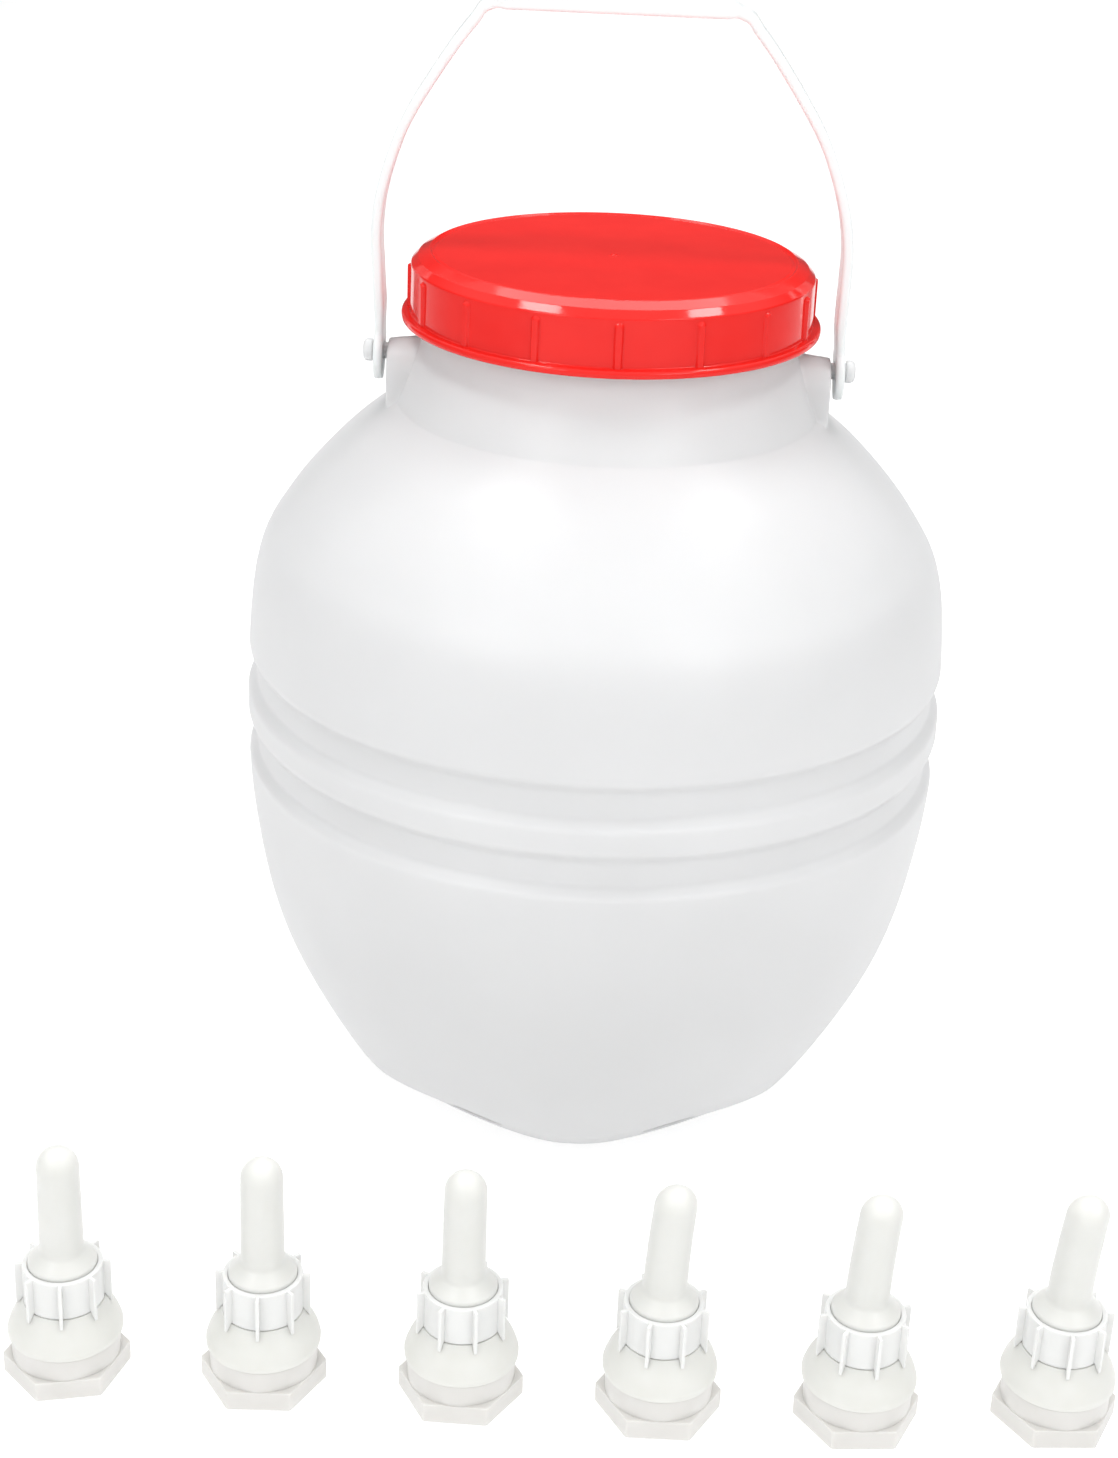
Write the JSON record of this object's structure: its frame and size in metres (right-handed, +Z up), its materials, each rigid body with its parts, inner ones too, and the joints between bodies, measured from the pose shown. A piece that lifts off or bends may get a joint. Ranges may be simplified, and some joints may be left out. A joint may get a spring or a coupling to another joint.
{
  "type": "calf feeding bottle",
  "caption": "Ball-shaped translucent milk feeding barrel with a red screw lid, a carrying bail and teat pads round its foot, with its loose screw-in teat units.",
  "frame": {"origin": "centre of the barrel's flat base, on the surface it stands on", "axes": "+Z up the barrel's axis to the lid and the bail, +X along the bail's pivot to the right seen from the front, -Y to the front where the teat units stand"},
  "size_m": [0.3287, 0.3124, 0.3762],
  "materials": {
    "natural_polyethylene": "satin, unpigmented and translucent, blow-moulded",
    "red_lid_plastic": "glossy red, injection-moulded",
    "white_foam": "matt closed-cell foam",
    "white_bail_plastic": "smooth white, injection-moulded",
    "cream_bushing_plastic": "satin unpigmented plastic",
    "cream_washer_rubber": "soft cream silicone",
    "clear_nut_plastic": "translucent, slightly cold white",
    "milky_teat_silicone": "milky silicone, soft sheen"
  },
  "bodies": {
    "barrel": {"barrel": "natural_polyethylene"},
    "handle": {"carry_handle": "white_bail_plastic"},
    "seal": {"lid_seal": "white_foam"},
    "lid": {"screw_lid": "red_lid_plastic"},
    "unit_1": {"hex_bushing_1": "cream_bushing_plastic", "sealing_washer_1": "cream_washer_rubber"},
    "teat_1": {"teat_1": "milky_teat_silicone"},
    "nut_1": {"clamp_nut_1": "clear_nut_plastic"},
    "unit_2": {"hex_bushing_2": "cream_bushing_plastic", "sealing_washer_2": "cream_washer_rubber"},
    "teat_2": {"teat_2": "milky_teat_silicone"},
    "nut_2": {"clamp_nut_2": "clear_nut_plastic"},
    "unit_3": {"hex_bushing_3": "cream_bushing_plastic", "sealing_washer_3": "cream_washer_rubber"},
    "teat_3": {"teat_3": "milky_teat_silicone"},
    "nut_3": {"clamp_nut_3": "clear_nut_plastic"},
    "unit_4": {"hex_bushing_4": "cream_bushing_plastic", "sealing_washer_4": "cream_washer_rubber"},
    "teat_4": {"teat_4": "milky_teat_silicone"},
    "nut_4": {"clamp_nut_4": "clear_nut_plastic"},
    "unit_5": {"hex_bushing_5": "cream_bushing_plastic", "sealing_washer_5": "cream_washer_rubber"},
    "teat_5": {"teat_5": "milky_teat_silicone"},
    "nut_5": {"clamp_nut_5": "clear_nut_plastic"},
    "unit_6": {"hex_bushing_6": "cream_bushing_plastic", "sealing_washer_6": "cream_washer_rubber"},
    "teat_6": {"teat_6": "milky_teat_silicone"},
    "nut_6": {"clamp_nut_6": "clear_nut_plastic"}
  },
  "joints": [
    {"name": "handle_swing", "type": "hinge", "parent": "barrel", "child": "handle", "pos_m": [0, 0, 0.2634], "axis": [1, 0, 0], "range_deg": [-108, 108]},
    {"name": "lid_rise", "type": "slide", "parent": "barrel", "child": "seal", "axis": [0, 0, 1], "range_m": [0, 0.0201]},
    {"name": "lid_turn", "type": "hinge", "parent": "seal", "child": "lid", "pos_m": [0, 0, 0.285], "axis": [0, 0, 1], "range_deg": [0, 900]},
    {"name": "unit_1_lift", "type": "slide", "parent": "barrel", "child": "unit_1", "axis": [0, 0, 1], "range_m": [0, 0.06]},
    {"name": "teat_1_rise", "type": "slide", "parent": "unit_1", "child": "teat_1", "axis": [0, 0, 1], "range_m": [0, 0.00801]},
    {"name": "nut_1_turn", "type": "hinge", "parent": "teat_1", "child": "nut_1", "pos_m": [-0.146, -0.1767, 0.031], "axis": [0, 0, 1], "range_deg": [0, 720]},
    {"name": "unit_2_lift", "type": "slide", "parent": "barrel", "child": "unit_2", "axis": [0, 0, 1], "range_m": [0, 0.06]},
    {"name": "teat_2_rise", "type": "slide", "parent": "unit_2", "child": "teat_2", "axis": [0, 0, 1], "range_m": [0, 0.00801]},
    {"name": "nut_2_turn", "type": "hinge", "parent": "teat_2", "child": "nut_2", "pos_m": [-0.0875, -0.1771, 0.031], "axis": [0, 0, 1], "range_deg": [0, 720]},
    {"name": "unit_3_lift", "type": "slide", "parent": "barrel", "child": "unit_3", "axis": [0, 0, 1], "range_m": [0, 0.06]},
    {"name": "teat_3_rise", "type": "slide", "parent": "unit_3", "child": "teat_3", "axis": [0, 0, 1], "range_m": [0, 0.00801]},
    {"name": "nut_3_turn", "type": "hinge", "parent": "teat_3", "child": "nut_3", "pos_m": [-0.0291, -0.1785, 0.031], "axis": [0, 0, 1], "range_deg": [0, 720]},
    {"name": "unit_4_lift", "type": "slide", "parent": "barrel", "child": "unit_4", "axis": [0, 0, 1], "range_m": [0, 0.06]},
    {"name": "teat_4_rise", "type": "slide", "parent": "unit_4", "child": "teat_4", "axis": [0, 0, 1], "range_m": [0, 0.00801]},
    {"name": "nut_4_turn", "type": "hinge", "parent": "teat_4", "child": "nut_4", "pos_m": [0.0291, -0.1806, 0.031], "axis": [0, 0, 1], "range_deg": [0, 720]},
    {"name": "unit_5_lift", "type": "slide", "parent": "barrel", "child": "unit_5", "axis": [0, 0, 1], "range_m": [0, 0.06]},
    {"name": "teat_5_rise", "type": "slide", "parent": "unit_5", "child": "teat_5", "axis": [0, 0, 1], "range_m": [0, 0.00801]},
    {"name": "nut_5_turn", "type": "hinge", "parent": "teat_5", "child": "nut_5", "pos_m": [0.0873, -0.1803, 0.031], "axis": [0, 0, 1], "range_deg": [0, 720]},
    {"name": "unit_6_lift", "type": "slide", "parent": "barrel", "child": "unit_6", "axis": [0, 0, 1], "range_m": [0, 0.06]},
    {"name": "teat_6_rise", "type": "slide", "parent": "unit_6", "child": "teat_6", "axis": [0, 0, 1], "range_m": [0, 0.00801]},
    {"name": "nut_6_turn", "type": "hinge", "parent": "teat_6", "child": "nut_6", "pos_m": [0.146, -0.1753, 0.031], "axis": [0, 0, 1], "range_deg": [0, 720]}
  ],
  "couplings": [
    {"joint": "lid_rise", "follows": "lid_turn", "m_per_rad": 0.0012732},
    {"joint": "teat_1_rise", "follows": "nut_1_turn", "m_per_rad": 0.00063662},
    {"joint": "teat_2_rise", "follows": "nut_2_turn", "m_per_rad": 0.00063662},
    {"joint": "teat_3_rise", "follows": "nut_3_turn", "m_per_rad": 0.00063662},
    {"joint": "teat_4_rise", "follows": "nut_4_turn", "m_per_rad": 0.00063662},
    {"joint": "teat_5_rise", "follows": "nut_5_turn", "m_per_rad": 0.00063662},
    {"joint": "teat_6_rise", "follows": "nut_6_turn", "m_per_rad": 0.00063662}
  ]
}
